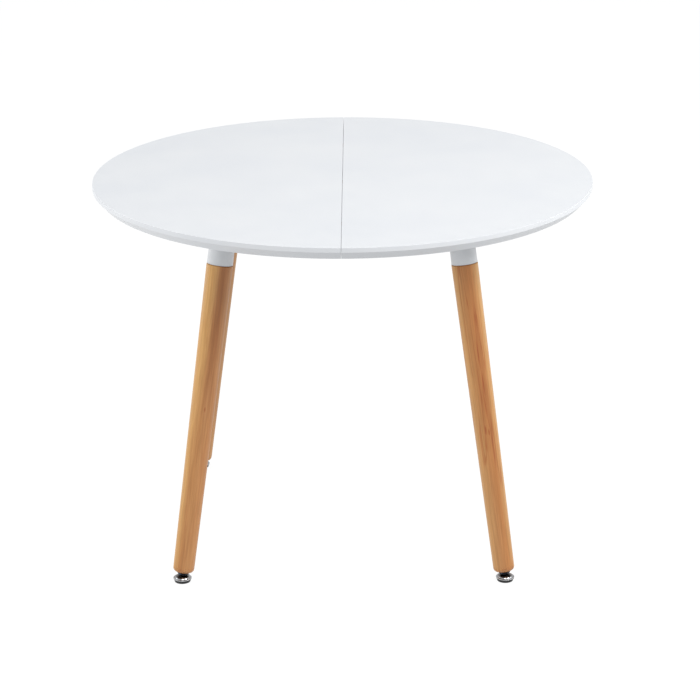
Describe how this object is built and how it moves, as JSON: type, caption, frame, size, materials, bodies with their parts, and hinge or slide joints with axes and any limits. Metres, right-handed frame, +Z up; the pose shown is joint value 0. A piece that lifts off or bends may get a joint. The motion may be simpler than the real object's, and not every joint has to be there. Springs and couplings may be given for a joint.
{
  "type": "extendable dining table",
  "caption": "Round dining table whose two half tops slide apart on a hidden steel frame, with splayed tapered beech legs in white sleeves and levelling feet.",
  "frame": {"origin": "on the floor, under the middle of the closed top", "axes": "+Z up, X is the direction in which the half tops slide apart (left is -X), -Y is the front, and the seam runs along Y"},
  "size_m": [1.0006, 1, 0.75],
  "materials": {
    "white_lacquer": "satin white lacquer on fibreboard",
    "beech": "clear varnished beech, turned",
    "dowel_wood": "plain beech dowel",
    "white_paint": "white powder coat",
    "chrome": "polished chrome plate",
    "dark_chrome": "dark bright zinc plate",
    "rubber": "matt black",
    "white_plastic": "moulded white",
    "brass_insert": "machined",
    "zinc_steel": "bright zinc plate"
  },
  "bodies": {
    "frame": {"corner_plates": "white_paint", "foot_inserts": "brass_insert", "front_left_leg": "beech", "front_left_sleeve": "white_paint", "front_left_slide_channel": "zinc_steel", "front_rail": "white_paint", "front_right_leg": "beech", "front_right_sleeve": "white_paint", "front_right_slide_channel": "zinc_steel", "leaf_bearers": "white_paint", "leaf_hinge_lower_plates": "zinc_steel", "leaf_hinge_pins": "zinc_steel", "leaf_hinge_upper_plates": "zinc_steel", "leaf_lower_panel": "white_lacquer", "leaf_upper_panel": "white_lacquer", "left_cross_beam": "white_paint", "leg_bolts": "zinc_steel", "leg_inserts": "brass_insert", "leg_washers": "zinc_steel", "rail_caps": "white_plastic", "rear_left_leg": "beech", "rear_left_sleeve": "white_paint", "rear_left_slide_channel": "zinc_steel", "rear_rail": "white_paint", "rear_right_leg": "beech", "rear_right_sleeve": "white_paint", "rear_right_slide_channel": "zinc_steel", "right_cross_beam": "white_paint"},
    "left_half": {"left_top": "white_lacquer", "dowels": "dowel_wood", "left_top_screws": "zinc_steel", "lock_plates": "zinc_steel", "lock_pivots": "zinc_steel", "front_left_slide_runner": "zinc_steel", "rear_left_slide_runner": "zinc_steel", "front_left_top_bracket": "zinc_steel", "rear_left_top_bracket": "zinc_steel"},
    "right_half": {"right_top": "white_lacquer", "right_top_screws": "zinc_steel", "lock_keepers": "zinc_steel", "front_right_slide_runner": "zinc_steel", "rear_right_slide_runner": "zinc_steel", "front_right_top_bracket": "zinc_steel", "rear_right_top_bracket": "zinc_steel"},
    "left_cages": {"left_ball_cages": "zinc_steel"},
    "right_cages": {"right_ball_cages": "zinc_steel"},
    "front_lock": {"front_lock_hook": "zinc_steel"},
    "rear_lock": {"rear_lock_hook": "zinc_steel"},
    "front_left_foot": {"front_left_foot_dish": "chrome", "front_left_foot_pad": "rubber"},
    "front_left_screw": {"front_left_foot_screw": "dark_chrome"},
    "front_right_foot": {"front_right_foot_dish": "chrome", "front_right_foot_pad": "rubber"},
    "front_right_screw": {"front_right_foot_screw": "dark_chrome"},
    "rear_left_foot": {"rear_left_foot_dish": "chrome", "rear_left_foot_pad": "rubber"},
    "rear_left_screw": {"rear_left_foot_screw": "dark_chrome"},
    "rear_right_foot": {"rear_right_foot_dish": "chrome", "rear_right_foot_pad": "rubber"},
    "rear_right_screw": {"rear_right_foot_screw": "dark_chrome"}
  },
  "joints": [
    {"name": "left_half_slide", "type": "slide", "parent": "frame", "child": "left_half", "axis": [-1, 0, 0], "range_m": [0, 0.15]},
    {"name": "right_half_slide", "type": "slide", "parent": "frame", "child": "right_half", "axis": [1, 0, 0], "range_m": [0, 0.15]},
    {"name": "left_cage_slide", "type": "slide", "parent": "frame", "child": "left_cages", "axis": [-1, 0, 0], "range_m": [0, 0.076]},
    {"name": "right_cage_slide", "type": "slide", "parent": "frame", "child": "right_cages", "axis": [1, 0, 0], "range_m": [0, 0.076]},
    {"name": "front_lock_turn", "type": "hinge", "parent": "left_half", "child": "front_lock", "pos_m": [-0.023, -0.39, 0.721], "axis": [0, 0, 1], "range_deg": [-84, 0]},
    {"name": "rear_lock_turn", "type": "hinge", "parent": "left_half", "child": "rear_lock", "pos_m": [-0.023, 0.39, 0.721], "axis": [0, 0, 1], "range_deg": [-84, 0]},
    {"name": "front_left_foot_height", "type": "slide", "parent": "frame", "child": "front_left_foot", "axis": [-0.1319, -0.1225, -0.9837], "range_m": [0, 0.008]},
    {"name": "front_left_foot_turn", "type": "hinge", "parent": "front_left_foot", "child": "front_left_screw", "pos_m": [-0.2246, -0.2136, 0.725], "axis": [-0.1319, -0.1225, -0.9837], "range_deg": [0, 2305]},
    {"name": "front_right_foot_height", "type": "slide", "parent": "frame", "child": "front_right_foot", "axis": [0.1319, -0.1225, -0.9837], "range_m": [0, 0.008]},
    {"name": "front_right_foot_turn", "type": "hinge", "parent": "front_right_foot", "child": "front_right_screw", "pos_m": [0.2246, -0.2136, 0.725], "axis": [0.1319, -0.1225, -0.9837], "range_deg": [0, 2305]},
    {"name": "rear_left_foot_height", "type": "slide", "parent": "frame", "child": "rear_left_foot", "axis": [-0.1319, 0.1225, -0.9837], "range_m": [0, 0.008]},
    {"name": "rear_left_foot_turn", "type": "hinge", "parent": "rear_left_foot", "child": "rear_left_screw", "pos_m": [-0.2246, 0.2136, 0.725], "axis": [-0.1319, 0.1225, -0.9837], "range_deg": [0, 2305]},
    {"name": "rear_right_foot_height", "type": "slide", "parent": "frame", "child": "rear_right_foot", "axis": [0.1319, 0.1225, -0.9837], "range_m": [0, 0.008]},
    {"name": "rear_right_foot_turn", "type": "hinge", "parent": "rear_right_foot", "child": "rear_right_screw", "pos_m": [0.2246, 0.2136, 0.725], "axis": [0.1319, 0.1225, -0.9837], "range_deg": [0, 2305]}
  ],
  "couplings": [
    {"joint": "left_cage_slide", "follows": "left_half_slide", "ratio": 0.5},
    {"joint": "right_cage_slide", "follows": "right_half_slide", "ratio": 0.5},
    {"joint": "front_left_foot_turn", "follows": "front_left_foot_height", "rad_per_m": 5026.5},
    {"joint": "front_right_foot_turn", "follows": "front_right_foot_height", "rad_per_m": 5026.5},
    {"joint": "rear_left_foot_turn", "follows": "rear_left_foot_height", "rad_per_m": 5026.5},
    {"joint": "rear_right_foot_turn", "follows": "rear_right_foot_height", "rad_per_m": 5026.5}
  ]
}
